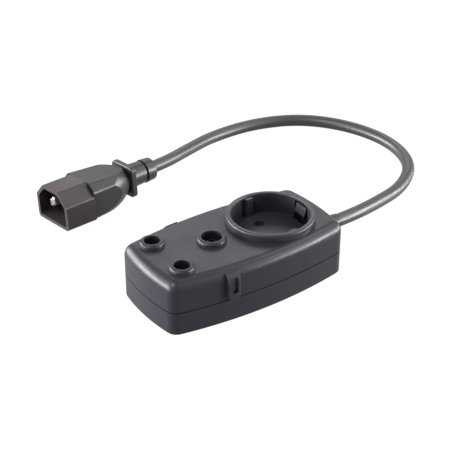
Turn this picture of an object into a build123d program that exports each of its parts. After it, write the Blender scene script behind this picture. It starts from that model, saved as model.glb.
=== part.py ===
from build123d import *
import math
import os

os.makedirs("parts", exist_ok=True)

# Case: two shells, millimetres, origin under the middle of the base, socket towards +X
case_length = 105.0
case_width = 55.8
case_height = 28.7
end_bulge = 2.3
side_bulge = 5.4
corner_radius = 6.0
top_edge_radius = 5.5
base_edge_radius = 1.0
side_wall = 2.2
top_wall = 2.4
base_wall = 2.0
parting_drop = 16.3
parting_chamfer = 0.2
lip_height = 1.2
lip_thickness = 1.0
lip_clearance = 0.1
parting_height = case_height - parting_drop

# Lugs on the long sides
lug_from_end = 32.7
lug_width = 6.8
lug_proud = 2.4
lug_rise = 0.8
lug_top_drop = 1.0
lug_corner = 2.4
lug_edge = 0.8
lug_groove_width = 3.4
lug_groove_depth = 1.1
lug_groove_floor = 3.4

# Case screws and the posts that they pull together
left_post_from_end = 25.5
left_post_from_side = 8.4
right_post_from_end = 9.0
right_post_from_side = 11.4
lower_post_radius = 3.4
upper_post_radius = 3.0
case_screw_radius = 1.3
case_screw_head_radius = 2.6
case_screw_head_height = 1.9
case_screw_reach = 10.0
screw_clearance = 0.1
screw_head_seat = 3.0
head_clearance = 0.3

# Earthed socket
recess_radius = 19.75
recess_depth = 11.0
collar_radius = 22.3
collar_height = 3.9
collar_edge = 1.0
mouth_edge = 0.5
socket_floor = 2.2
socket_wall = 1.25
pin_spacing = 19.0
pin_hole_radius = 2.65
ridge_width = 4.2
ridge_depth = 2.1
ridge_drop = 0.8
clip_slot_width = 10.4
clip_slot_reach = 2.1
clip_slot_lip = 1.5
seat_clearance = 0.15

# Contact carrier under the socket
carrier_rim_thickness = 1.2
carrier_rim_clearance = 0.4
carrier_side_clearance = 0.2
carrier_plate = 2.2
carrier_block_radius = 15.5
carrier_ledge = 1.2
contact_bore = 2.4
contact_wall = 0.9
contact_clearance = 0.15
contact_drop = 0.4
contact_slit = 0.8
blade_thickness = 0.8
blade_height = 5.0
blade_reach = 5.8
blade_drop = 10.9
blade_clearance = 0.15
carrier_screw_offset = 8.5
insert_post_radius = 2.6
insert_post_length = 9.4
carrier_screw_radius = 1.2
carrier_screw_head_radius = 2.1
carrier_screw_head_height = 1.9

# Earth strip and its two spring clips
strip_thickness = 0.6
strip_width = 6.8
strip_cover = 0.3
strip_tab_gap = 0.7
strip_tab_length = 8.5
strip_tab_width = 5.2
strip_clearance = 0.3
clip_thickness = 0.6
clip_width = 8.0
clip_foot_reach = 20.3
clip_foot_drop = 2.0
clip_bend_rise = 2.1
clip_contact_reach = 18.6
clip_contact_rise = 6.4
clip_tip_reach = 19.9
clip_tip_rise = 11.0
clip_slot_clearance = 0.4

# Test sockets: two small ones at the left end, a larger one in the middle
small_test_from_end = 13.6
small_test_y = 13.2
large_test_from_socket = 35.0
small_hole_radius = 4.1
large_hole_radius = 5.25
boss_top_width = 1.9
boss_edge = 1.4
boss_base_width = 2.4
boss_height = 2.4
boss_cap = 1.6
sleeve_wall = 0.8
sleeve_clearance = 0.1
sleeve_floor = 2.0
sleeve_flange = 0.9
sleeve_flange_thickness = 1.6
test_bore_radius = 2.0
test_contact_radius = 2.6
test_contact_recess = 3.0
test_bore_depth = 13.0
test_bore_floor = 1.1
tail_radius = 1.5
tail_clearance = 0.1
tag_thickness = 0.6
tag_radius = 3.0
tag_width = 2.4
tag_reach = 8.4
nut_across_flats = 5.5
nut_thickness = 2.0
tail_stub = 0.8

# Cord, its bush and its clamp in the case
cord_radius = 3.5
cord_exit_rise = 1.0
bush_neck_radius = 4.6
bush_flange_radius = 6.4
bush_flange_thickness = 1.5
bush_sleeve_length = 4.0
bush_taper_length = 12.0
bush_tip_radius = 3.95
bush_clearance = 0.05
bush_wall_gap = 0.35
wall_play = 0.1
clamp_width = 3.3
clamp_wall_gap = 2.3
clamp_carrier_gap = 0.4
clamp_thickness = 2.2
clamp_screw_y = 7.8
clamp_pillar_radius = 2.3
clamp_bar_margin = 2.6
clamp_screw_radius = 1.1
clamp_screw_head_radius = 2.0
clamp_screw_head_height = 1.5
clamp_screw_reach = 8.0
saddle_width = 2.0
lead_radius = 1.2
lead_spread = 1.75
lead_rise = 0.8
lead_drop = 1.8
cord_exit_height = parting_height + cord_exit_rise

# Cord route: from inside the plug's neck, over the table, to inside the bush
cord_route = [
    (9.3, 105.3, 11.5),
    (27.2, 107.1, 11.5),
    (50.2, 119.3, 7.5),
    (76.7, 131.7, 3.5),
    (107.5, 131.2, 3.5),
    (134.6, 119.5, 3.5),
    (152.6, 95.0, 3.5),
    (158.8, 65.5, 3.5),
    (150.2, 37.8, 3.5),
    (128.2, 20.8, 3.5),
    (99.6, 9.4, 8.1),
    (case_length / 2 + 20.5, 0.0, cord_exit_height),
    (case_length / 2 + 3.5, 0.0, cord_exit_height),
]

# Inlet plug on the cord's other end, measured from its open face backwards
plug_roll = 4.7
plug_cord_start = 58.0
shroud_width = 28.4
shroud_height = 20.6
shroud_chamfer = 7.0
shroud_edge = 2.0
shroud_wall = 1.9
shroud_length = 18.2
cavity_depth = 15.6
spigot_length = 5.4
spigot_inset = 2.9
blade_pin_height = 4.0
blade_pin_width = 2.0
earth_pin_recess = 1.2
line_pin_recess = 4.0
blade_pin_spacing = 14.0
earth_pin_height = 2.4
line_pin_height = -1.6
pin_clearance = 0.05
terminal_width = 4.6
terminal_height = 5.4
terminal_length = 6.0
terminal_screw_radius = 1.3
terminal_screw_head_radius = 1.8
terminal_screw_head_height = 1.6
cover_chamfer = 4.2
cover_edge = 3.4
cover_length = 28.0
cover_wall = 1.8
cover_taper = 4.0
cover_round_length = 31.0
cover_round_radius = 16.0
cover_top_arc = 140.0
cover_screw_place = 3.5
cover_screw_radius = 1.2
cover_screw_head_radius = 2.2
cover_screw_seat = 0.9
cover_screw_length = 6.0
tongue_half_width = 7.2
tongue_top = -4.8
tongue_thickness = 2.0
plug_clamp_start = 34.0
plug_clamp_width = 3.0
plug_clamp_thickness = 2.1
plug_clamp_half_span = 7.0
plug_clamp_screw_y = 5.6
plug_clamp_screw_radius = 1.0
plug_clamp_head_radius = 1.7
plug_clamp_head_height = 0.9
plug_sheath_end = 33.4
neck_spigot_radius = 5.0
neck_spigot_clearance = 0.1
neck_retainer_radius = 5.8
neck_retainer_length = 1.4
grip_flange_width = 18.6
grip_flange_height = 17.8
grip_flange_corner = 2.6
grip_flange_edge = 0.7
grip_flange_thickness = 3.3
neck_length = 9.3
neck_root_radius = 6.8
neck_tip_radius = 6.3
neck_groove_width = 1.1
neck_groove_radius = 5.0
neck_ring_length = 5.9
neck_ring_radius = 6.7
neck_ring_tip_radius = 6.3
neck_ring_edge = 0.7

# Heights and places that follow from the sizes above
lug_bottom = parting_height + lug_rise
ceiling = case_height - top_wall
collar_top = case_height + collar_height
recess_floor = collar_top - recess_depth
insert_bottom = recess_floor - socket_floor
insert_radius = recess_radius + socket_wall
opening_radius = insert_radius + seat_clearance
carrier_rim_inner = insert_radius + carrier_rim_clearance
carrier_radius = carrier_rim_inner + carrier_rim_thickness
carrier_plate_bottom = insert_bottom - carrier_plate
blade_bottom = insert_bottom - blade_drop
strip_tab_place = carrier_block_radius + strip_tab_gap
contact_radius = contact_bore + contact_wall
contact_bottom = base_wall + carrier_ledge
contact_top = insert_bottom - contact_drop
strip_top = insert_bottom - strip_cover
strip_bottom = strip_top - strip_thickness
strip_half_length = clip_foot_reach - clip_thickness - clip_slot_clearance
clip_foot_bottom = insert_bottom - clip_foot_drop
boss_top = case_height + boss_height
sleeve_top = boss_top - boss_cap
test_bore_bottom = boss_top - test_contact_recess - test_bore_depth
sleeve_bottom = test_bore_bottom - test_bore_floor - sleeve_floor
end_inner_x = case_length / 2 - side_wall
clamp_x = end_inner_x - clamp_wall_gap - clamp_width / 2
socket_x = clamp_x - clamp_width / 2 - clamp_carrier_gap - carrier_radius
large_test_x = socket_x - large_test_from_socket
small_test_x = small_test_from_end - case_length / 2
lug_x = lug_from_end - case_length / 2
left_post_x = left_post_from_end - case_length / 2
left_post_y = case_width / 2 - left_post_from_side
right_post_x = case_length / 2 - right_post_from_end
right_post_y = case_width / 2 - right_post_from_side
post_places = [
    (left_post_x, left_post_y),
    (left_post_x, -left_post_y),
    (right_post_x, right_post_y),
    (right_post_x, -right_post_y),
]
insert_post_places = [
    (socket_x + carrier_screw_offset, carrier_screw_offset),
    (socket_x - carrier_screw_offset, -carrier_screw_offset),
]
insert_post_bottom = insert_bottom - insert_post_length
clamp_seat = cord_exit_height + bush_neck_radius
sheath_end_x = clamp_x - clamp_width / 2 - 0.3


def upright(radius, low, high, x=0.0, y=0.0):
    """A round post or hole from one height to another."""
    solid = Cylinder(radius, high - low, align=(Align.CENTER, Align.CENTER, Align.MIN))
    return Pos(x, y, low) * solid


def along_x(radius, start, end, y=0.0, z=0.0):
    """A round bar or hole lying along X."""
    return Pos((start + end) / 2, y, z) * Rot(0, 90, 0) * Cylinder(radius, end - start)


def block(low, high):
    """A box between two corners."""
    size = [b - a for a, b in zip(low, high)]
    middle = [(a + b) / 2 for a, b in zip(low, high)]
    return Pos(*middle) * Box(*size)


def turned(points, axis):
    """A solid turned from an outline of (along, radius) points about the X axis."""
    outline = make_face(Polyline(*[(along, radius, 0) for along, radius in points], close=True))
    return revolve(outline, axis)


def side_reach_and_radius():
    corner_x = case_length / 2 - end_bulge
    radius = (corner_x**2 + side_bulge**2) / (2 * side_bulge)
    return radius - case_width / 2, radius


def end_reach_and_radius():
    corner_y = case_width / 2 - side_bulge
    radius = (corner_y**2 + end_bulge**2) / (2 * end_bulge)
    return radius - case_length / 2, radius


def half_width_at(x):
    reach, radius = side_reach_and_radius()
    return math.sqrt(radius**2 - x**2) - reach


def case_plan(inset, height):
    """The case's plan, four arcs with rounded corners, drawn inwards by inset."""
    side_reach, side_radius = side_reach_and_radius()
    end_reach, end_radius = end_reach_and_radius()
    plan = Pos(0, side_reach) * Circle(side_radius - inset)
    plan &= Pos(0, -side_reach) * Circle(side_radius - inset)
    plan &= Pos(end_reach, 0) * Circle(end_radius - inset)
    plan &= Pos(-end_reach, 0) * Circle(end_radius - inset)
    plan = fillet(plan.vertices(), corner_radius - inset)
    return Pos(0, 0, height) * plan


def case_block(inset, low, high):
    return extrude(case_plan(inset, low), amount=high - low)


def case_room(inset, low):
    """Room under the rounded ceiling, with its sides `inset` in from the outer faces."""
    room = case_block(inset, low, ceiling)
    return fillet(room.faces().sort_by(Axis.Z)[-1].edges(), top_edge_radius - side_wall)


def tongue_outline(width, low, high, corner, y):
    """Upright outline facing +Y, with its two lower corners rounded."""
    left = lug_x - width / 2
    right = lug_x + width / 2
    outline = make_face(Polyline((left, low), (right, low), (right, high), (left, high), close=True))
    outline = fillet(outline.vertices().sort_by(Axis.Y)[:2], corner)
    return Plane(origin=(0, y, 0), x_dir=(1, 0, 0), z_dir=(0, -1, 0)) * outline


def lug(side):
    """One U-shaped lug; side is -1 for the near long side and +1 for the far one."""
    front_y = half_width_at(lug_x) + lug_proud
    root_y = half_width_at(lug_x) - side_wall / 2
    top = case_height - lug_top_drop
    pad = extrude(tongue_outline(lug_width, lug_bottom, top, lug_corner, front_y), amount=front_y - root_y)
    rim = pad.faces().sort_by(Axis.Y)[-1].edges()
    pad = fillet(rim.filter_by(lambda edge: edge.center().Z < top - 0.01), lug_edge)
    floor = lug_bottom + lug_groove_floor
    groove = tongue_outline(lug_groove_width, floor, top + 1, lug_groove_width * 0.45, front_y + 1)
    pad -= extrude(groove, amount=lug_groove_depth + 1)
    limit = case_block(-lug_proud, lug_bottom - 1, case_height)
    pad &= fillet(limit.faces().sort_by(Axis.Z)[-1].edges(), top_edge_radius + lug_proud)
    return pad if side > 0 else mirror(pad, Plane.XZ)


def test_places():
    """Name, x, y and hole radius of each test socket."""
    return [
        ("back", small_test_x, small_test_y, small_hole_radius),
        ("front", small_test_x, -small_test_y, small_hole_radius),
        ("middle", large_test_x, 0.0, large_hole_radius),
    ]


def boss(x, y, hole_radius):
    cone = Cone(
        hole_radius + boss_base_width,
        hole_radius + boss_top_width,
        boss_height + top_wall,
        align=(Align.CENTER, Align.CENTER, Align.MIN),
    )
    cone = fillet(cone.edges().sort_by(Axis.Z)[-1], boss_edge)
    return Pos(x, y, ceiling) * cone


def make_top_shell():
    shell = case_block(0, parting_height, case_height)
    shell = fillet(shell.faces().sort_by(Axis.Z)[-1].edges(), top_edge_radius)
    shell = chamfer(shell.faces().sort_by(Axis.Z)[0].edges(), parting_chamfer)
    shell += lug(1)
    shell += lug(-1)
    for name, x, y, hole_radius in test_places():
        shell += boss(x, y, hole_radius)
    shell -= case_room(side_wall, parting_height)
    shell -= case_block(side_wall - lip_thickness - lip_clearance, parting_height, parting_height + lip_height + 0.2)
    for x, y in post_places:
        shell += upright(upper_post_radius, parting_height, ceiling + 0.5, x, y)
        shell -= upright(
            case_screw_radius + screw_clearance, parting_height - 1, parting_height + case_screw_reach + 1, x, y
        )
    for name, x, y, hole_radius in test_places():
        shell -= upright(hole_radius, ceiling - 1, boss_top + 1, x, y)
        shell -= upright(hole_radius + sleeve_wall + sleeve_clearance, ceiling - 1, sleeve_top, x, y)
    shell -= upright(opening_radius, ceiling - 1, case_height + 1, socket_x)
    shell -= bush_hole()
    slot_half = bush_neck_radius + wall_play
    shell -= block(
        (end_inner_x - 1, -slot_half, parting_height - 1),
        (case_length / 2 + 1, slot_half, cord_exit_height),
    )
    return shell


def bush_hole():
    return along_x(
        bush_neck_radius + wall_play, end_inner_x - 1.0, case_length / 2 + 1, z=cord_exit_height
    )


def make_bottom_shell():
    shell = case_block(0, 0, parting_height)
    shell = fillet(shell.faces().sort_by(Axis.Z)[0].edges(), base_edge_radius)
    shell = chamfer(shell.faces().sort_by(Axis.Z)[-1].edges(), parting_chamfer)
    shell += case_block(side_wall - lip_thickness, parting_height - 1, parting_height + lip_height)
    shell -= case_block(side_wall, base_wall, parting_height + lip_height + 1)
    for x, y in post_places:
        shell += upright(lower_post_radius, base_wall - 0.5, parting_height, x, y)
        shell -= upright(case_screw_radius + 2 * screw_clearance, -1, parting_height + 1, x, y)
        shell -= upright(case_screw_head_radius + head_clearance, -1, screw_head_seat, x, y)
    for side in (-1, 1):
        shell += upright(clamp_pillar_radius, base_wall - 0.5, clamp_seat, clamp_x, side * clamp_screw_y)
        shell -= upright(
            clamp_screw_radius + screw_clearance / 2, clamp_seat - clamp_screw_reach - 1, clamp_seat + 1,
            clamp_x, side * clamp_screw_y,
        )
    saddle_half = clamp_screw_y - clamp_pillar_radius
    shell += block(
        (clamp_x - saddle_width / 2, -saddle_half, base_wall - 0.5),
        (clamp_x + saddle_width / 2, saddle_half, cord_exit_height - bush_neck_radius),
    )
    shell -= bush_hole()
    return shell


def cross_slot(x, y, height, size, depth):
    """Cross recess in a screw head that faces down, cut upwards from height."""
    arms = block((x - size, y - 0.35, height - 0.5), (x + size, y + 0.35, height + depth))
    arms += block((x - 0.35, y - size, height - 0.5), (x + 0.35, y + size, height + depth))
    return arms


def make_case_screws():
    screws = []
    head_bottom = screw_head_seat - case_screw_head_height
    for x, y in post_places:
        screw = upright(case_screw_head_radius, head_bottom, screw_head_seat, x, y)
        screw = fillet(screw.edges().sort_by(Axis.Z)[0], 0.5)
        screw += upright(case_screw_radius, screw_head_seat, parting_height + case_screw_reach, x, y)
        screw -= cross_slot(x, y, head_bottom, case_screw_head_radius * 0.6, 1.1)
        screws.append(screw)
    return Compound(children=screws)


def clip_slot(side):
    """Slot in the socket's wall and floor for an earth clip; side is -1 or +1 along X."""
    inner = recess_radius - clip_slot_reach
    outer = insert_radius + 0.05
    low = min(side * inner, side * outer)
    high = max(side * inner, side * outer)
    return block(
        (socket_x + low, -clip_slot_width / 2, insert_bottom - 1),
        (socket_x + high, clip_slot_width / 2, collar_top - clip_slot_lip),
    )


def guide_ridge(side):
    """Upright ridge on the recess wall in line with the pin holes."""
    inner = recess_radius - ridge_depth
    ridge = block(
        (-ridge_width / 2, inner, recess_floor - 0.5),
        (ridge_width / 2, recess_radius + socket_wall / 2, collar_top - ridge_drop),
    )
    nose = ridge.edges().filter_by(Axis.Z).sort_by(Axis.Y)[:2]
    ridge = fillet(nose, 1.0)
    ridge = Pos(socket_x, 0, 0) * ridge
    return ridge if side > 0 else mirror(ridge, Plane.XZ)


def make_socket_insert():
    insert = upright(insert_radius, insert_bottom, case_height + 0.5, socket_x)
    collar = upright(collar_radius, case_height, collar_top, socket_x)
    collar = fillet(collar.edges().sort_by(Axis.Z)[-1], collar_edge)
    insert += collar
    insert -= upright(recess_radius, recess_floor, collar_top + 1, socket_x)
    mouth = insert.edges().filter_by(GeomType.CIRCLE).group_by(Axis.Z)[-1].sort_by(SortBy.RADIUS)[0]
    insert = fillet(mouth, mouth_edge)
    for side in (-1, 1):
        insert += guide_ridge(side)
        insert -= clip_slot(side)
        insert -= upright(pin_hole_radius, insert_bottom - 1, recess_floor + 1, socket_x, side * pin_spacing / 2)
    for x, y in insert_post_places:
        insert += upright(insert_post_radius, insert_post_bottom, insert_bottom, x, y)
        insert -= upright(carrier_screw_radius + screw_clearance / 2, insert_post_bottom - 1, insert_bottom - 1, x, y)
    return insert


def make_contact_carrier():
    carrier = upright(carrier_radius, carrier_plate_bottom, ceiling, socket_x)
    carrier -= upright(carrier_rim_inner, insert_bottom, ceiling + 1, socket_x)
    carrier += upright(carrier_block_radius, base_wall, carrier_plate_bottom, socket_x)
    carrier &= case_room(side_wall + carrier_side_clearance, base_wall)
    for side in (-1, 1):
        y = side * pin_spacing / 2
        carrier -= upright(contact_radius + contact_clearance, contact_bottom, insert_bottom + 1, socket_x, y)
        carrier -= upright(contact_bore + 0.2, base_wall - 1, contact_bottom + 1, socket_x, y)
        blade_end = pin_spacing / 2 + contact_radius + blade_reach + blade_clearance
        slot_half = blade_thickness / 2 + blade_clearance
        slot = block(
            (socket_x - slot_half, pin_spacing / 2, blade_bottom - blade_clearance),
            (socket_x + slot_half, blade_end, insert_bottom + 1),
        )
        carrier -= slot if side > 0 else mirror(slot, Plane.XZ)
        foot_near = side * (clip_foot_reach - clip_thickness - clip_slot_clearance)
        foot_far = side * (clip_foot_reach + clip_slot_clearance)
        carrier -= block(
            (socket_x + min(foot_near, foot_far), -clip_width / 2 - clip_slot_clearance, carrier_plate_bottom - 1),
            (socket_x + max(foot_near, foot_far), clip_width / 2 + clip_slot_clearance, insert_bottom + 1),
        )
        tab_near = side * (strip_tab_place - strip_clearance)
        tab_far = side * (strip_tab_place + strip_thickness + strip_clearance)
        carrier -= block(
            (socket_x + min(tab_near, tab_far), -strip_tab_width / 2 - strip_clearance, carrier_plate_bottom - 1),
            (socket_x + max(tab_near, tab_far), strip_tab_width / 2 + strip_clearance, insert_bottom + 1),
        )
    carrier -= block(
        (socket_x - strip_half_length, -strip_width / 2 - strip_clearance, strip_bottom),
        (socket_x + strip_half_length, strip_width / 2 + strip_clearance, insert_bottom + 1),
    )
    for x, y in insert_post_places:
        carrier -= upright(insert_post_radius + 0.2, insert_post_bottom, insert_bottom + 1, x, y)
        carrier -= upright(carrier_screw_radius + screw_clearance, base_wall - 1, insert_bottom, x, y)
        carrier -= upright(
            carrier_screw_head_radius + head_clearance, base_wall - 1, base_wall + carrier_screw_head_height + 0.4, x, y
        )
    return carrier


def make_carrier_screws():
    screws = []
    seat = base_wall + carrier_screw_head_height + 0.4
    for x, y in insert_post_places:
        screw = upright(carrier_screw_head_radius, seat - carrier_screw_head_height, seat, x, y)
        screw += upright(carrier_screw_radius, seat, insert_bottom - 2.0, x, y)
        screw -= cross_slot(x, y, seat - carrier_screw_head_height, carrier_screw_head_radius * 0.6, 1.0)
        screws.append(screw)
    return Compound(children=screws)


def make_pin_contact(side):
    """Split brass tube for one pin, with a terminal blade towards the case's side."""
    y = pin_spacing / 2
    tube = upright(contact_radius, contact_bottom, contact_top, socket_x, y)
    tube += block(
        (socket_x - blade_thickness / 2, y + contact_radius - 0.3, blade_bottom),
        (socket_x + blade_thickness / 2, y + contact_radius + blade_reach, blade_bottom + blade_height),
    )
    tube -= upright(contact_bore, contact_bottom - 1, contact_top + 1, socket_x, y)
    tube -= block(
        (socket_x - contact_slit / 2, y - contact_radius - 1, blade_bottom),
        (socket_x + contact_slit / 2, y, contact_top + 1),
    )
    return tube if side > 0 else mirror(tube, Plane.XZ)


def make_earth_strip():
    strip = block(
        (socket_x - strip_half_length, -strip_width / 2, strip_bottom),
        (socket_x + strip_half_length, strip_width / 2, strip_top),
    )
    for side in (-1, 1):
        near = side * strip_tab_place
        far = side * (strip_tab_place + strip_thickness)
        strip += block(
            (socket_x + min(near, far), -strip_tab_width / 2, strip_bottom - strip_tab_length),
            (socket_x + max(near, far), strip_tab_width / 2, strip_bottom + strip_thickness / 2),
        )
    return strip


def make_earth_clip(side):
    """Bent spring strip: foot, inward contact bulge and a tip leaning back into its slot."""
    outer = [
        (clip_foot_reach, clip_foot_bottom),
        (clip_foot_reach, insert_bottom + clip_bend_rise),
        (clip_contact_reach, insert_bottom + clip_contact_rise),
        (clip_tip_reach, insert_bottom + clip_tip_rise),
    ]
    inner = [(reach - clip_thickness, height) for reach, height in reversed(outer)]
    points = [(socket_x + side * reach, 0, height) for reach, height in outer + inner]
    profile = make_face(Polyline(*points, close=True))
    clip = extrude(profile, amount=clip_width / 2, dir=(0, 1, 0), both=True)
    bulge = clip.edges().filter_by(Axis.Y).sort_by(lambda edge: abs(edge.center().Z - outer[2][1]))[:2]
    return fillet(bulge, 0.25)


def make_test_sleeve(x, y, hole_radius):
    outer = hole_radius + sleeve_wall
    sleeve = upright(outer, sleeve_bottom, sleeve_top, x, y)
    sleeve += upright(outer + sleeve_flange, ceiling - sleeve_flange_thickness, ceiling, x, y)
    sleeve -= upright(hole_radius, sleeve_bottom + sleeve_floor, sleeve_top + 1, x, y)
    sleeve -= upright(tail_radius + tail_clearance, sleeve_bottom - 1, sleeve_bottom + sleeve_floor + 1, x, y)
    return sleeve


def make_test_contact(x, y):
    top = boss_top - test_contact_recess
    seat = sleeve_bottom + sleeve_floor
    contact = upright(test_contact_radius, seat, top, x, y)
    contact = chamfer(contact.edges().sort_by(Axis.Z)[-1], 0.3)
    contact -= upright(test_bore_radius, top - test_bore_depth, top + 1, x, y)
    contact += upright(tail_radius, sleeve_bottom - tag_thickness - nut_thickness - tail_stub, seat, x, y)
    return contact


def make_test_tags():
    tags = []
    low = sleeve_bottom - tag_thickness
    for name, x, y, hole_radius in test_places():
        tag = upright(tag_radius, low, sleeve_bottom, x, y)
        tag += block((x, y - tag_width / 2, low), (x + tag_reach, y + tag_width / 2, sleeve_bottom))
        tag -= upright(tail_radius + tail_clearance, low - 1, sleeve_bottom + 1, x, y)
        tags.append(tag)
    return Compound(children=tags)


def make_test_nuts():
    nuts = []
    top = sleeve_bottom - tag_thickness
    for name, x, y, hole_radius in test_places():
        hexagon = RegularPolygon(nut_across_flats / 2, 6, major_radius=False)
        nut = extrude(Pos(x, y, top - nut_thickness) * hexagon, amount=nut_thickness)
        nut -= upright(tail_radius + 0.03, top - nut_thickness - 1, top + 1, x, y)
        nuts.append(nut)
    return Compound(children=nuts)


def make_cord_bush():
    """Moulded bush: sleeve under the clamp, inner flange, neck in the wall, outer taper."""
    inner_flange = end_inner_x - bush_wall_gap - bush_flange_thickness
    wall_outside = case_length / 2 + 0.05
    tip = wall_outside + bush_taper_length
    bore = cord_radius + bush_clearance
    bush = turned(
        [
            (inner_flange - bush_sleeve_length, bore),
            (inner_flange - bush_sleeve_length, bush_neck_radius),
            (inner_flange, bush_neck_radius),
            (inner_flange, bush_flange_radius),
            (inner_flange + bush_flange_thickness, bush_flange_radius),
            (inner_flange + bush_flange_thickness, bush_neck_radius),
            (wall_outside, bush_neck_radius),
            (tip, bush_tip_radius),
            (tip, bore),
        ],
        Axis.X,
    )
    return Pos(0, 0, cord_exit_height) * bush


def make_cord_clamp():
    half_span = clamp_screw_y + clamp_bar_margin
    bar = block(
        (clamp_x - clamp_width / 2, -half_span, clamp_seat),
        (clamp_x + clamp_width / 2, half_span, clamp_seat + clamp_thickness),
    )
    bar = fillet(bar.edges().filter_by(Axis.Z), 1.2)
    for side in (-1, 1):
        bar -= upright(clamp_screw_radius + screw_clearance, clamp_seat - 1, clamp_seat + 5, clamp_x, side * clamp_screw_y)
    return bar


def make_clamp_screws():
    screws = []
    seat = clamp_seat + clamp_thickness
    for side in (-1, 1):
        y = side * clamp_screw_y
        screw = upright(clamp_screw_radius, clamp_seat - clamp_screw_reach, seat, clamp_x, y)
        screw += upright(clamp_screw_head_radius, seat, seat + clamp_screw_head_height, clamp_x, y)
        slot_top = seat + clamp_screw_head_height + 1
        screw -= block((clamp_x - 3, y - 0.3, slot_top - 1.7), (clamp_x + 3, y + 0.3, slot_top))
        screws.append(screw)
    return Compound(children=screws)


def swept(points, radius, bend_radii):
    """A round bar along straight runs joined by arcs."""
    path = FilletPolyline(*points, radius=bend_radii)
    return sweep((path ^ 0) * Circle(radius), path=path)


def bend_radius(before, corner, after):
    """The largest arc that leaves a tenth of the shorter run straight between two corners."""
    run_in = Vector(*corner) - Vector(*before)
    run_out = Vector(*after) - Vector(*corner)
    half_turn = math.radians(run_in.get_angle(run_out)) / 2
    return 0.45 * min(run_in.length, run_out.length) / math.tan(half_turn)


def inner_lead(points):
    radii = [min(3.0, bend_radius(*points[i - 1:i + 2])) for i in range(1, len(points) - 1)]
    return swept(points, lead_radius, radii)


def lead_from_cord(side):
    """Core from the cord's end round the carrier to a pin contact's blade."""
    y = pin_spacing / 2 + contact_radius + blade_reach - lead_radius - 0.1
    blade_x = socket_x + blade_thickness / 2
    level = blade_bottom + blade_height / 2
    block_edge = socket_x + carrier_block_radius
    points = [
        (sheath_end_x, lead_spread, cord_exit_height + lead_rise),
        (sheath_end_x - 2.5, lead_spread, cord_exit_height + lead_rise),
        (block_edge + 1.5, y - 5.5, level),
        (blade_x + 9.0, y, level),
        (blade_x, y, level),
    ]
    lead = inner_lead(points)
    return lead if side > 0 else mirror(lead, Plane.XZ)


def lead_to_test_socket(side):
    """Core from a pin contact's blade along the case's side to a small test socket."""
    y = pin_spacing / 2 + contact_radius + blade_reach - lead_radius - 0.1
    blade_x = socket_x - blade_thickness / 2
    level = blade_bottom + blade_height / 2
    tag_end = small_test_x + tag_reach
    tag_level = sleeve_bottom - tag_thickness / 2
    points = [
        (blade_x, y, level),
        (blade_x - 4.0, y, level),
        (blade_x - 12.0, y + 1.2, level - 1.5),
        (tag_end + 19.2, y - 1.5, level - 2.5),
        (tag_end + 8.0, small_test_y, tag_level),
        (tag_end, small_test_y, tag_level),
    ]
    lead = inner_lead(points)
    return lead if side > 0 else mirror(lead, Plane.XZ)


def make_earth_lead():
    tab_face = socket_x + strip_tab_place + strip_thickness
    return along_x(lead_radius, tab_face, sheath_end_x, z=cord_exit_height - lead_drop)


def make_test_earth_lead():
    tab_face = socket_x - strip_tab_place - strip_thickness
    level = sleeve_bottom - tag_thickness / 2
    return along_x(lead_radius, large_test_x + tag_reach, tab_face, z=level)


def make_cord_sheath():
    radii = [bend_radius(*cord_route[i - 1:i + 2]) for i in range(1, len(cord_route) - 1)]
    sheath = swept(cord_route, cord_radius, radii)
    path = FilletPolyline(*cord_route, radius=radii)
    section = math.pi * cord_radius**2
    print("cord bend radii", [round(radius, 1) for radius in radii])
    print("cord length", round(path.length, 1))
    print("cord volume", round(sheath.volume, 1), "section times length", round(section * path.length, 1))
    return sheath


# The plug's own frame: X from its open face to its back, Z towards the bevelled side
cord_start = Vector(*cord_route[0])
plug_axis = (Vector(*cord_route[1]) - cord_start).normalized()
plug_nose = cord_start - plug_axis * plug_cord_start
level_side = Vector(0, 0, 1).cross(plug_axis).normalized()
level_up = plug_axis.cross(level_side)
roll = math.radians(plug_roll)
plug_up = level_up * math.cos(roll) + level_side * math.sin(roll)
plug_place = Plane(origin=plug_nose, x_dir=plug_axis, z_dir=plug_up).location


def plug_profile(inset, along, chamfer_size, edge_radius):
    """Cross-section of the plug: a rectangle with two bevelled corners."""
    half_width = shroud_width / 2 - inset
    half_height = shroud_height / 2 - inset
    bevel = chamfer_size - inset * (2 - math.sqrt(2))
    corners = [
        (-half_width, -half_height),
        (half_width, -half_height),
        (half_width, half_height - bevel),
        (half_width - bevel, half_height),
        (-half_width + bevel, half_height),
        (-half_width, half_height - bevel),
    ]
    face = make_face(Polyline(*corners, close=True))
    face = fillet(face.vertices(), max(edge_radius - inset / 2, 0.4))
    return Plane.YZ.offset(along) * face


def shroud_profile(inset, along):
    return plug_profile(inset, along, shroud_chamfer, shroud_edge)


def plug_pin_places():
    """Name, sideways place, height and setback of each flat pin."""
    return [
        ("live", blade_pin_spacing / 2, line_pin_height, line_pin_recess),
        ("neutral", -blade_pin_spacing / 2, line_pin_height, line_pin_recess),
        ("earth", 0.0, earth_pin_height, earth_pin_recess),
    ]


spigot_end = shroud_length + spigot_length
cover_end = shroud_length + cover_length
terminal_end = spigot_end + terminal_length


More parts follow.
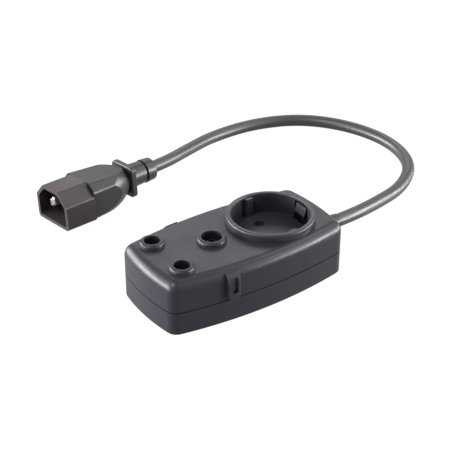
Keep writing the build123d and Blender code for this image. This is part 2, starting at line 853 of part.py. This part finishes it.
def make_plug_body():
    body = extrude(shroud_profile(0, 0), amount=shroud_length)
    body += extrude(shroud_profile(spigot_inset, shroud_length - 0.5), amount=spigot_length + 0.5)
    body -= extrude(shroud_profile(shroud_wall, -1), amount=cavity_depth + 1)
    clamp_end = plug_clamp_start + plug_clamp_width
    body += block(
        (spigot_end - 0.5, -tongue_half_width, tongue_top - tongue_thickness),
        (clamp_end, tongue_half_width, tongue_top),
    )
    body += block(
        (plug_clamp_start, -tongue_half_width, tongue_top - 0.5),
        (clamp_end, tongue_half_width, -cord_radius),
    )
    for name, y, z, recess in plug_pin_places():
        half_width = blade_pin_width / 2 + pin_clearance
        half_height = blade_pin_height / 2 + pin_clearance
        body -= block((0, y - half_width, z - half_height), (spigot_end + 1, y + half_width, z + half_height))
    middle = (plug_clamp_start + clamp_end) / 2
    for side in (-1, 1):
        body -= upright(
            plug_clamp_screw_radius + screw_clearance / 2, tongue_top - tongue_thickness - 1, 0,
            middle, side * plug_clamp_screw_y,
        )
    body -= upright(
        cover_screw_radius + screw_clearance / 2, -shroud_height, -shroud_height / 2 + cover_screw_length + 1,
        shroud_length + cover_screw_place,
    )
    return body


def make_plug_pin(y, z, recess):
    """Flat pin with its terminal block behind the plug's body."""
    blade = block(
        (recess, y - blade_pin_width / 2, z - blade_pin_height / 2),
        (spigot_end, y + blade_pin_width / 2, z + blade_pin_height / 2),
    )
    tip = blade.faces().sort_by(Axis.X)[0].edges()
    blade = chamfer(tip, 0.45)
    terminal = block(
        (spigot_end, y - terminal_width / 2, z - terminal_height / 2),
        (terminal_end, y + terminal_width / 2, z + terminal_height / 2),
    )
    middle = (spigot_end + terminal_end) / 2
    terminal -= upright(terminal_screw_radius + 0.05, z, z + terminal_height, middle, y)
    return blade + terminal


def make_terminal_screws():
    screws = []
    middle = (spigot_end + terminal_end) / 2
    for name, y, z, recess in plug_pin_places():
        top = z + terminal_height / 2
        screw = upright(terminal_screw_radius, z + 0.3, top, middle, y)
        screw += upright(terminal_screw_head_radius, top, top + terminal_screw_head_height, middle, y)
        slot_top = top + terminal_screw_head_height
        screw -= block((middle - 3, y - 0.3, slot_top - 0.8), (middle + 3, y + 0.3, slot_top + 1))
        screws.append(screw)
    return Compound(children=screws)


def cover_form(inset, length):
    """The cover's tapering prism with an arched top and its back end rounded off all round."""
    section = plug_profile(inset, shroud_length, cover_chamfer, cover_edge)
    prism = extrude(section, amount=length, taper=cover_taper)
    long_half = cover_round_length - inset
    short_half = cover_round_radius - inset
    arc = EllipticalCenterArc((shroud_length, 0), long_half, short_half, 0, arc_size=90)
    base = Line((shroud_length, short_half), (shroud_length, 0))
    centre_line = Line((shroud_length, 0), (shroud_length + long_half, 0))
    dome = revolve(make_face([arc, base, centre_line]), Axis.X)
    top_arc = Cylinder(cover_top_arc - inset, shroud_width)
    top_arc = Pos(shroud_length, 0, shroud_height / 2 - cover_top_arc) * Rot(90, 0, 0) * top_arc
    return prism & dome & top_arc


def make_plug_cover():
    cover = cover_form(0, cover_length)
    cover -= cover_form(cover_wall, cover_length - cover_wall)
    cover -= along_x(neck_spigot_radius + neck_spigot_clearance, cover_end - cover_wall - 1, cover_end + 1)
    screw_x = shroud_length + cover_screw_place
    seat = cover_screw_seat - shroud_height / 2
    cover -= upright(cover_screw_radius + 2 * screw_clearance, -shroud_height, 0, screw_x)
    cover -= upright(cover_screw_head_radius + head_clearance, -shroud_height, seat, screw_x)
    return cover


def make_cover_screw():
    screw_x = shroud_length + cover_screw_place
    seat = cover_screw_seat - shroud_height / 2
    screw = upright(cover_screw_radius, seat, seat + cover_screw_length - cover_screw_seat, screw_x)
    screw += upright(cover_screw_head_radius, seat - 0.7, seat, screw_x)
    screw -= block((screw_x - 3, -0.3, seat - 2), (screw_x + 3, 0.3, seat - 0.3))
    return screw


def make_neck_sleeve():
    """Soft sleeve: spigot held in the cover, square grip flange, tapered neck and end ring."""
    bore = cord_radius + bush_clearance
    spigot_start = cover_end - cover_wall - neck_spigot_clearance
    flange_end = cover_end + grip_flange_thickness
    neck_end = flange_end + neck_length
    ring_start = neck_end + neck_groove_width
    ring_end = ring_start + neck_ring_length
    sleeve = turned(
        [
            (spigot_start - neck_retainer_length, bore),
            (spigot_start - neck_retainer_length, neck_retainer_radius),
            (spigot_start, neck_retainer_radius),
            (spigot_start, neck_spigot_radius),
            (cover_end, neck_spigot_radius),
            (cover_end, neck_root_radius),
            (flange_end, neck_root_radius),
            (neck_end, neck_tip_radius),
            (neck_end, neck_groove_radius),
            (ring_start, neck_groove_radius),
            (ring_start, neck_ring_radius),
            (ring_end, neck_ring_tip_radius),
            (ring_end, bore),
        ],
        Axis.X,
    )
    tip = sleeve.edges().filter_by(GeomType.CIRCLE).group_by(Axis.X)[-1].sort_by(SortBy.RADIUS)[-1]
    sleeve = fillet(tip, neck_ring_edge)
    plate = RectangleRounded(grip_flange_width, grip_flange_height, grip_flange_corner)
    plate = extrude(Plane.YZ.offset(cover_end) * plate, amount=grip_flange_thickness)
    rim = plate.faces().sort_by(Axis.X)[0].edges() + plate.faces().sort_by(Axis.X)[-1].edges()
    plate = fillet(rim, grip_flange_edge)
    plate -= along_x(neck_spigot_radius + 0.5, cover_end - 1, flange_end + 1)
    return sleeve + plate


def make_plug_clamp():
    half_span = plug_clamp_half_span
    clamp_end = plug_clamp_start + plug_clamp_width
    middle = (plug_clamp_start + clamp_end) / 2
    bar = block(
        (plug_clamp_start, -half_span, cord_radius),
        (clamp_end, half_span, cord_radius + plug_clamp_thickness),
    )
    for side in (-1, 1):
        bar -= upright(plug_clamp_screw_radius + screw_clearance, 0, shroud_height, middle, side * plug_clamp_screw_y)
    return bar


def make_plug_clamp_screws():
    screws = []
    middle = plug_clamp_start + plug_clamp_width / 2
    seat = cord_radius + plug_clamp_thickness
    for side in (-1, 1):
        y = side * plug_clamp_screw_y
        screw = upright(plug_clamp_screw_radius, tongue_top - tongue_thickness, seat, middle, y)
        screw += upright(plug_clamp_head_radius, seat, seat + plug_clamp_head_height, middle, y)
        screws.append(screw)
    return Compound(children=screws)


def make_plug_lead(y, z, core_y, core_z):
    """Short core from the sheath's end to a terminal block's back."""
    gap = plug_sheath_end - terminal_end
    points = [
        (terminal_end, y, z),
        (terminal_end + 0.3 * gap, y, z),
        (plug_sheath_end - 0.3 * gap, core_y, core_z),
        (plug_sheath_end, core_y, core_z),
    ]
    bends = [min(1.3, bend_radius(*points[i - 1:i + 2])) for i in range(1, 3)]
    return swept(points, lead_radius, bends)


parts = {
    "top_shell": make_top_shell(),
    "bottom_shell": make_bottom_shell(),
    "case_screws": make_case_screws(),
    "socket_insert": make_socket_insert(),
    "contact_carrier": make_contact_carrier(),
    "carrier_screws": make_carrier_screws(),
    "live_contact": make_pin_contact(1),
    "neutral_contact": make_pin_contact(-1),
    "earth_strip": make_earth_strip(),
    "earth_clip_left": make_earth_clip(-1),
    "earth_clip_right": make_earth_clip(1),
    "test_tags": make_test_tags(),
    "test_nuts": make_test_nuts(),
    "cord_bush": make_cord_bush(),
    "cord_clamp": make_cord_clamp(),
    "clamp_screws": make_clamp_screws(),
    "lead_live": lead_from_cord(1),
    "lead_neutral": lead_from_cord(-1),
    "lead_earth": make_earth_lead(),
    "test_lead_live": lead_to_test_socket(1),
    "test_lead_neutral": lead_to_test_socket(-1),
    "test_lead_earth": make_test_earth_lead(),
    "sheath_end_in_case": along_x(cord_radius, sheath_end_x, cord_route[-1][0], z=cord_exit_height),
    "cord_sheath": make_cord_sheath(),
}
for name, x, y, hole_radius in test_places():
    parts["test_sleeve_" + name] = make_test_sleeve(x, y, hole_radius)
    parts["test_contact_" + name] = make_test_contact(x, y)

plug_parts = {
    "plug_body": make_plug_body(),
    "plug_terminal_screws": make_terminal_screws(),
    "plug_cover": make_plug_cover(),
    "plug_cover_screw": make_cover_screw(),
    "plug_neck_sleeve": make_neck_sleeve(),
    "plug_clamp": make_plug_clamp(),
    "plug_clamp_screws": make_plug_clamp_screws(),
    "sheath_end_in_plug": along_x(cord_radius, plug_sheath_end, plug_cord_start),
}
core_places = {
    "live": (lead_spread, -lead_rise),
    "neutral": (-lead_spread, -lead_rise),
    "earth": (0.0, lead_drop),
}
for name, y, z, recess in plug_pin_places():
    plug_parts["plug_pin_" + name] = make_plug_pin(y, z, recess)
    plug_parts["plug_lead_" + name] = make_plug_lead(y, z, *core_places[name])
for name, solid in plug_parts.items():
    parts[name] = plug_place * solid

for name, solid in parts.items():
    export_step(solid, "parts/" + name + ".step")
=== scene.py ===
import math
import bpy
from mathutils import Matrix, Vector


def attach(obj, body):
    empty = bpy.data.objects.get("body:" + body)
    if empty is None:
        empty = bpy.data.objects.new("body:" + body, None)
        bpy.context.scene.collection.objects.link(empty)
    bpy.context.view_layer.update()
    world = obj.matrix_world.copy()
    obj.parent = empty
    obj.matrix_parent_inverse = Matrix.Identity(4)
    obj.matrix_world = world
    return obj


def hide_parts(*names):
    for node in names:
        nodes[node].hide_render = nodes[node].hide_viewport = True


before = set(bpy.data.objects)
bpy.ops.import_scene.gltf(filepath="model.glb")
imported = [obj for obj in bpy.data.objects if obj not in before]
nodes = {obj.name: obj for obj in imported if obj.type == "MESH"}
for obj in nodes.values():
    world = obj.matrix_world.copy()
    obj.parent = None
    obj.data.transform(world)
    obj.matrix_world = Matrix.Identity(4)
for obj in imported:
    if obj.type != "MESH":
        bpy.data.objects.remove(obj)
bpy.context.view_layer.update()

# Case: an upper and a lower shell, injection moulded in anthracite ABS with the mould's
# fine spark-eroded grain on every outer face. Handling has left the top smoother in
# patches. The groove of the parting line has painted shade: a near-black band without sheen.


def moulded_plastic(name, colour, worn_colour, grain, roughness, gloss=0.35, depth=0.00003):
    """Plastic with a fine mould grain and slow, soft changes of colour and sheen."""
    patches_per_metre = 55
    sheen_swing = 0.05
    material = bpy.data.materials.new(name)
    material.use_nodes = True
    tree = material.node_tree
    shader = tree.nodes["Principled BSDF"]
    place = tree.nodes.new("ShaderNodeTexCoord")
    patches = tree.nodes.new("ShaderNodeTexNoise")
    patches.inputs["Scale"].default_value = patches_per_metre
    patches.inputs["Detail"].default_value = 4
    tree.links.new(place.outputs["Object"], patches.inputs["Vector"])
    tint = tree.nodes.new("ShaderNodeMix")
    tint.data_type = "RGBA"
    tint.inputs["A"].default_value = (*colour, 1)
    tint.inputs["B"].default_value = (*worn_colour, 1)
    tree.links.new(patches.outputs["Fac"], tint.inputs["Factor"])
    tree.links.new(tint.outputs["Result"], shader.inputs["Base Color"])
    sheen = tree.nodes.new("ShaderNodeMapRange")
    sheen.inputs["From Min"].default_value = 0.3
    sheen.inputs["From Max"].default_value = 0.7
    sheen.inputs["To Min"].default_value = roughness + sheen_swing
    sheen.inputs["To Max"].default_value = roughness - sheen_swing
    tree.links.new(patches.outputs["Fac"], sheen.inputs["Value"])
    tree.links.new(sheen.outputs["Result"], shader.inputs["Roughness"])
    shader.inputs["Specular IOR Level"].default_value = gloss
    pits = tree.nodes.new("ShaderNodeTexNoise")
    pits.inputs["Scale"].default_value = 1 / grain
    pits.inputs["Detail"].default_value = 3
    tree.links.new(place.outputs["Object"], pits.inputs["Vector"])
    bump = tree.nodes.new("ShaderNodeBump")
    bump.inputs["Strength"].default_value = 0.6
    bump.inputs["Distance"].default_value = depth
    tree.links.new(pits.outputs["Fac"], bump.inputs["Height"])
    tree.links.new(bump.outputs["Normal"], shader.inputs["Normal"])
    return material


def finish_nodes(material, *names):
    """Give these CAD nodes the material in all their slots."""
    for name in names:
        for place in nodes[name].material_slots:
            place.material = material


case_gloss = 0.12
# Painted shade for the parting line's groove: its height, half width and near-black colour.
seam_height = 0.0124
seam_half_width = 0.00021
seam_shade_colour = (0.001, 0.001, 0.001)
case_plastic = moulded_plastic(
    "case_plastic", (0.0060, 0.0063, 0.0086), (0.0092, 0.0096, 0.0125),
    grain=0.0008, roughness=0.36, gloss=case_gloss
)
# Painted shade: a thin band at the parting line's height is coloured near black and loses its specular,
# standing in for the shade in the groove.
tree = case_plastic.node_tree
shader = tree.nodes["Principled BSDF"]
spot = tree.nodes.new("ShaderNodeTexCoord")
height = tree.nodes.new("ShaderNodeSeparateXYZ")
tree.links.new(spot.outputs["Object"], height.inputs["Vector"])
seam = tree.nodes.new("ShaderNodeMath")
seam.operation = "COMPARE"
seam.inputs[1].default_value = seam_height
seam.inputs[2].default_value = seam_half_width
tree.links.new(height.outputs["Z"], seam.inputs[0])
seam_painted_shade = tree.nodes.new("ShaderNodeMix")
seam_painted_shade.data_type = "RGBA"
seam_painted_shade.inputs["B"].default_value = (*seam_shade_colour, 1)
tree.links.new(seam.outputs["Value"], seam_painted_shade.inputs["Factor"])
tree.links.new(shader.inputs["Base Color"].links[0].from_socket, seam_painted_shade.inputs["A"])
tree.links.new(seam_painted_shade.outputs["Result"], shader.inputs["Base Color"])
dulled = tree.nodes.new("ShaderNodeMapRange")
dulled.inputs["To Min"].default_value = case_gloss
dulled.inputs["To Max"].default_value = 0.0
tree.links.new(seam.outputs["Value"], dulled.inputs["Value"])
tree.links.new(dulled.outputs["Result"], shader.inputs["Specular IOR Level"])
finish_nodes(case_plastic, "top_shell", "bottom_shell")

# Case screws: four zinc-plated steel self-tapping screws with a cross recess.
# They sit in counterbores under the case and pull the lower shell against the upper.


def plated_metal(name, colour, dull_colour, roughness):
    """Plated metal with faint tool marks and a slightly cloudy plating."""
    clouds_per_metre = 400
    marks_per_metre = 3000
    mark_depth = 0.00002
    material = bpy.data.materials.new(name)
    material.use_nodes = True
    tree = material.node_tree
    shader = tree.nodes["Principled BSDF"]
    shader.inputs["Metallic"].default_value = 1.0
    place = tree.nodes.new("ShaderNodeTexCoord")
    cloud = tree.nodes.new("ShaderNodeTexNoise")
    cloud.inputs["Scale"].default_value = clouds_per_metre
    cloud.inputs["Detail"].default_value = 5
    tree.links.new(place.outputs["Object"], cloud.inputs["Vector"])
    tint = tree.nodes.new("ShaderNodeMix")
    tint.data_type = "RGBA"
    tint.inputs["A"].default_value = (*colour, 1)
    tint.inputs["B"].default_value = (*dull_colour, 1)
    tree.links.new(cloud.outputs["Fac"], tint.inputs["Factor"])
    tree.links.new(tint.outputs["Result"], shader.inputs["Base Color"])
    haze = tree.nodes.new("ShaderNodeMapRange")
    haze.inputs["To Min"].default_value = roughness - 0.08
    haze.inputs["To Max"].default_value = roughness + 0.12
    tree.links.new(cloud.outputs["Fac"], haze.inputs["Value"])
    tree.links.new(haze.outputs["Result"], shader.inputs["Roughness"])
    marks = tree.nodes.new("ShaderNodeTexNoise")
    marks.inputs["Scale"].default_value = marks_per_metre
    tree.links.new(place.outputs["Object"], marks.inputs["Vector"])
    bump = tree.nodes.new("ShaderNodeBump")
    bump.inputs["Strength"].default_value = 0.25
    bump.inputs["Distance"].default_value = mark_depth
    tree.links.new(marks.outputs["Fac"], bump.inputs["Height"])
    tree.links.new(bump.outputs["Normal"], shader.inputs["Normal"])
    return material


zinc = plated_metal("zinc_plating", (0.60, 0.61, 0.63), (0.46, 0.47, 0.50), roughness=0.38)
finish_nodes(zinc, "case_screws")

# Socket insert: collar, recess and pin-hole floor moulded in one piece of a
# slightly smoother dark plastic, held down by two posts and screws from below.

socket_plastic = moulded_plastic(
    "socket_plastic", (0.0080, 0.0084, 0.0105), (0.0115, 0.0120, 0.0148),
    grain=0.0005, roughness=0.35, gloss=0.14
)
finish_nodes(socket_plastic, "socket_insert")

# Contact carrier: a plain black heat-resistant moulding that clamps the insert
# under the upper shell and holds the pin contacts; two screws tie it to the insert.

carrier_plastic = moulded_plastic(
    "carrier_plastic", (0.020, 0.020, 0.021), (0.028, 0.028, 0.030), grain=0.0008, roughness=0.55
)
finish_nodes(carrier_plastic, "contact_carrier")
finish_nodes(zinc, "carrier_screws")

# Pin contacts, earth strip and earth clips: pressed from nickel-plated brass and
# spring strip. The clips stand in slots of the recess wall and give way to a plug.

nickel = plated_metal("nickel_plating", (0.66, 0.63, 0.57), (0.50, 0.47, 0.41), roughness=0.32)
finish_nodes(nickel, "live_contact", "neutral_contact", "earth_strip")
# The earth clips' metal is painted near black: painted shade standing in for the shade in their slots.
shaded_clip_metal = plated_metal("shaded_clip_metal", (0.016, 0.016, 0.017), (0.010, 0.010, 0.011), roughness=0.5)
finish_nodes(shaded_clip_metal, "earth_clip_left", "earth_clip_right")

# Test sockets: black shrouding sleeves with a dark plated 4 mm contact in each,
# pushed up from inside and held by a tag washer and a nut on the contact's tail.

sleeve_plastic = moulded_plastic(
    "sleeve_plastic", (0.0040, 0.0040, 0.0044), (0.0062, 0.0062, 0.0066),
    grain=0.0005, roughness=0.45, gloss=0.08
)
dark_nickel = plated_metal("dark_nickel", (0.045, 0.043, 0.041), (0.028, 0.027, 0.026), roughness=0.4)
for place in ("back", "front", "middle"):
    finish_nodes(sleeve_plastic, "test_sleeve_" + place)
    finish_nodes(dark_nickel, "test_contact_" + place)
finish_nodes(nickel, "test_tags", "test_nuts")

# Inner leads: stranded copper in brown, blue and green-yellow insulation, soldered
# to the blades and tags. The green-yellow ones are striped on the slant.


def insulation(name, colour, stripe=None):
    """Smooth soft insulation, plain or striped."""
    stripes_per_metre = 130
    clouds_per_metre = 500
    lighter = 1.25
    material = bpy.data.materials.new(name)
    material.use_nodes = True
    tree = material.node_tree
    shader = tree.nodes["Principled BSDF"]
    shader.inputs["Roughness"].default_value = 0.4
    place = tree.nodes.new("ShaderNodeTexCoord")
    pattern = tree.nodes.new("ShaderNodeTexWave" if stripe else "ShaderNodeTexNoise")
    pattern.inputs["Scale"].default_value = stripes_per_metre if stripe else clouds_per_metre
    tree.links.new(place.outputs["Object"], pattern.inputs["Vector"])
    ramp = tree.nodes.new("ShaderNodeValToRGB")
    ramp.color_ramp.elements[0].color = (*colour, 1)
    ramp.color_ramp.elements[1].color = (*(stripe or [c * lighter for c in colour]), 1)
    if stripe:
        pattern.bands_direction = "DIAGONAL"
        ramp.color_ramp.elements[0].position = 0.48
        ramp.color_ramp.elements[1].position = 0.52
    tree.links.new(pattern.outputs["Fac"], ramp.inputs["Fac"])
    tree.links.new(ramp.outputs["Color"], shader.inputs["Base Color"])
    return material


brown = insulation("brown_insulation", (0.14, 0.055, 0.025))
blue = insulation("blue_insulation", (0.02, 0.09, 0.38))
green_yellow = insulation("green_yellow_insulation", (0.04, 0.26, 0.05), stripe=(0.75, 0.62, 0.05))
for core, cover in (("live", brown), ("neutral", blue), ("earth", green_yellow)):
    finish_nodes(cover, "lead_" + core, "test_lead_" + core, "plug_lead_" + core)

# Cord bush and cord clamp: the bush is moulded in soft black plastic and grips the
# wall between two flanges; a pale bar and two screws clamp the cord behind it.

soft_plastic = moulded_plastic(
    "soft_plastic", (0.0075, 0.0075, 0.0078), (0.0110, 0.0110, 0.0114),
    grain=0.0009, roughness=0.36, gloss=0.16
)
finish_nodes(soft_plastic, "cord_bush")
natural_nylon = moulded_plastic(
    "natural_nylon", (0.55, 0.52, 0.45), (0.62, 0.60, 0.53), grain=0.0008, roughness=0.5
)
finish_nodes(natural_nylon, "cord_clamp", "plug_clamp")
finish_nodes(zinc, "clamp_screws")

# Cord: round three-core flex, 7 mm over a smooth black PVC sheath. It leaves the
# plug, lies on the table in one wide loop and goes back into the case through the bush.

cord_radius = 0.0035
cord_route = [
    (0.0093, 0.1053, 0.0115),
    (0.0272, 0.1071, 0.0115),
    (0.0502, 0.1193, 0.0075),
    (0.0767, 0.1317, 0.0035),
    (0.1075, 0.1312, 0.0035),
    (0.1346, 0.1195, 0.0035),
    (0.1526, 0.0950, 0.0035),
    (0.1588, 0.0655, 0.0035),
    (0.1502, 0.0378, 0.0035),
    (0.1282, 0.0208, 0.0035),
    (0.0996, 0.0094, 0.0081),
    (0.0730, 0.0000, 0.0134),
    (0.0560, 0.0000, 0.0134),
]
cord_curve = bpy.data.curves.new("cord", "CURVE")
cord_curve.dimensions = "3D"
line = cord_curve.splines.new("NURBS")
line.points.add(len(cord_route) - 1)
for point, place in zip(line.points, cord_route):
    point.co = (*place, 1)
line.order_u = 3
line.use_endpoint_u = True
cord_curve.resolution_u = 24
cord_curve.bevel_depth = cord_radius
cord_curve.bevel_resolution = 10
cord_curve.use_fill_caps = True
cord = bpy.data.objects.new("cord", cord_curve)
bpy.context.scene.collection.objects.link(cord)
sheath = moulded_plastic(
    "cord_sheath_plastic", (0.0085, 0.0085, 0.0088), (0.0120, 0.0120, 0.0124),
    grain=0.0005, roughness=0.42, gloss=0.24, depth=0.000003
)
cord_curve.materials.append(sheath)
finish_nodes(sheath, "sheath_end_in_case", "sheath_end_in_plug")
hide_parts("cord_sheath")
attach(cord, "case")

# Plug body and cover: two dark brown-black mouldings that meet in a plain seam; the
# body's shroud surrounds the pins, and one screw underneath holds the cover.

plug_plastic = moulded_plastic(
    "plug_plastic", (0.0096, 0.0065, 0.0066), (0.0130, 0.0092, 0.0093),
    grain=0.0006, roughness=0.40, gloss=0.19
)
finish_nodes(plug_plastic, "plug_body")
cover_plastic = moulded_plastic(
    "cover_plastic", (0.0068, 0.0061, 0.0061), (0.0095, 0.0086, 0.0086),
    grain=0.0007, roughness=0.36, gloss=0.16
)
finish_nodes(cover_plastic, "plug_cover")
finish_nodes(zinc, "plug_cover_screw", "plug_clamp_screws", "plug_terminal_screws")

# Plug pins: flat nickel-plated brass, pressed into the body, each with its terminal
# block behind; the shroud stands a little beyond their tips.

# The pins' nickel is painted darker than plain nickel: painted shade for the shade inside the shroud.
shaded_pin_plating = plated_metal("shaded_pin_plating", (0.32, 0.31, 0.29), (0.23, 0.22, 0.205), roughness=0.34)
finish_nodes(shaded_pin_plating, "plug_pin_live", "plug_pin_neutral", "plug_pin_earth")

# Plug neck sleeve: soft black moulding with a rounded rectangular grip flange, a neck
# and an end ring behind a groove. Its spigot is held in the cover's back end.

finish_nodes(soft_plastic, "plug_neck_sleeve")

# Studio: white paper under and behind the adapter, strong low lamps at its left and
# right, and weaker ones behind and above. The camera looks down at it from the front.


def seen_rays(tree):
    """1 for rays that show a surface to the camera, also in or through another; else 0."""
    rays = tree.nodes.new("ShaderNodeLightPath")
    total = rays.outputs["Is Camera Ray"]
    for kind in ("Is Glossy Ray", "Is Transmission Ray"):
        add = tree.nodes.new("ShaderNodeMath")
        add.operation = "ADD"
        add.use_clamp = True
        tree.links.new(total, add.inputs[0])
        tree.links.new(rays.outputs[kind], add.inputs[1])
        total = add.outputs["Value"]
    return total


world = bpy.data.worlds.new("studio")
bpy.context.scene.world = world
world.use_nodes = True
tree = world.node_tree
sky = tree.nodes["Background"]
sky.inputs["Color"].default_value = (0.80, 0.82, 0.86, 1)
sky.inputs["Strength"].default_value = 0.08
bright = tree.nodes.new("ShaderNodeBackground")
bright.inputs["Color"].default_value = (1, 1, 1, 1)
bright.inputs["Strength"].default_value = 1.0
choice = tree.nodes.new("ShaderNodeMixShader")
tree.links.new(seen_rays(tree), choice.inputs["Fac"])
tree.links.new(sky.outputs["Background"], choice.inputs[1])
tree.links.new(bright.outputs["Background"], choice.inputs[2])
tree.links.new(choice.outputs["Shader"], tree.nodes["World Output"].inputs["Surface"])

floor_reach = 3.0
glow_share = 0.9
floor_corners = [(x * floor_reach, y * floor_reach, 0) for x, y in ((-1, -1), (1, -1), (1, 1), (-1, 1))]
floor_mesh = bpy.data.meshes.new("floor")
floor_mesh.from_pydata(floor_corners, [], [(0, 1, 2, 3)])
floor = bpy.data.objects.new("floor", floor_mesh)
bpy.context.scene.collection.objects.link(floor)
floor_paper = bpy.data.materials.new("floor_paper")
floor_paper.use_nodes = True
tree = floor_paper.node_tree
paper = tree.nodes["Principled BSDF"]
paper.inputs["Base Color"].default_value = (0.40, 0.40, 0.40, 1)
paper.inputs["Roughness"].default_value = 0.9
paper.inputs["Specular IOR Level"].default_value = 0.1
glow = tree.nodes.new("ShaderNodeEmission")
glow.inputs["Color"].default_value = (1, 1, 1, 1)
glow.inputs["Strength"].default_value = 1.06
share = tree.nodes.new("ShaderNodeMath")
share.operation = "MULTIPLY"
share.inputs[1].default_value = glow_share
tree.links.new(seen_rays(tree), share.inputs[0])
blend = tree.nodes.new("ShaderNodeMixShader")
tree.links.new(share.outputs["Value"], blend.inputs["Fac"])
tree.links.new(paper.outputs["BSDF"], blend.inputs[1])
tree.links.new(glow.outputs["Emission"], blend.inputs[2])
tree.links.new(blend.outputs["Shader"], tree.nodes["Material Output"].inputs["Surface"])
floor_mesh.materials.append(floor_paper)


def lamp(name, place, target, size, power):
    """Area lamp turned to its target; size is width and height in metres, power in watts."""
    light = bpy.data.lights.new(name, "AREA")
    light.shape = "RECTANGLE"
    light.size, light.size_y = size
    light.energy = power
    fitting = bpy.data.objects.new(name, light)
    fitting.location = place
    fitting.rotation_euler = (Vector(target) - Vector(place)).to_track_quat("-Z", "Y").to_euler()
    bpy.context.scene.collection.objects.link(fitting)


lamp("behind_right", (0.56, 0.82, 0.64), (0.0, 0.0, 0.02), (0.75, 0.42), 4.0)
lamp("left", (-0.97, 0.46, 0.18), (0.0, 0.0, 0.03), (0.95, 0.34), 64)
lamp("left_behind", (-0.60, 0.98, 0.34), (0.0, 0.0, 0.03), (0.6, 0.5), 30)
lamp("left_above", (-0.60, -0.10, 0.78), (-0.02, 0.0, 0.02), (0.4, 0.35), 14)
lamp("right", (1.04, -0.40, 0.15), (0.03, 0.03, 0.03), (0.8, 0.26), 32)
lamp("right_front", (0.82, -0.80, 0.22), (0.03, 0.03, 0.03), (0.42, 0.40), 27)
lamp("front_right", (0.62, -0.52, 0.65), (0.03, 0.0, 0.02), (0.35, 0.3), 5)
lamp("front_above", (0.24, -0.68, 0.72), (0.0, 0.05, 0.02), (0.6, 0.3), 2)
lamp("overhead_right", (0.62, -0.04, 0.80), (0.02, 0.0, 0.02), (0.35, 0.6), 6)

sensor_width = 36
focal_pixels = 1294.7
picture_width = 450
camera_data = bpy.data.cameras.new("camera")
camera_data.sensor_width = sensor_width
camera_data.lens = sensor_width * focal_pixels / picture_width
camera_data.clip_start = 0.01
camera = bpy.data.objects.new("camera", camera_data)
camera.location = (-0.30826, -0.44097, 0.35679)
camera.rotation_euler = (math.radians(58.95), 0, math.radians(-34.47))
bpy.context.scene.collection.objects.link(camera)
bpy.context.scene.camera = camera
bpy.context.scene.view_settings.view_transform = "Standard"
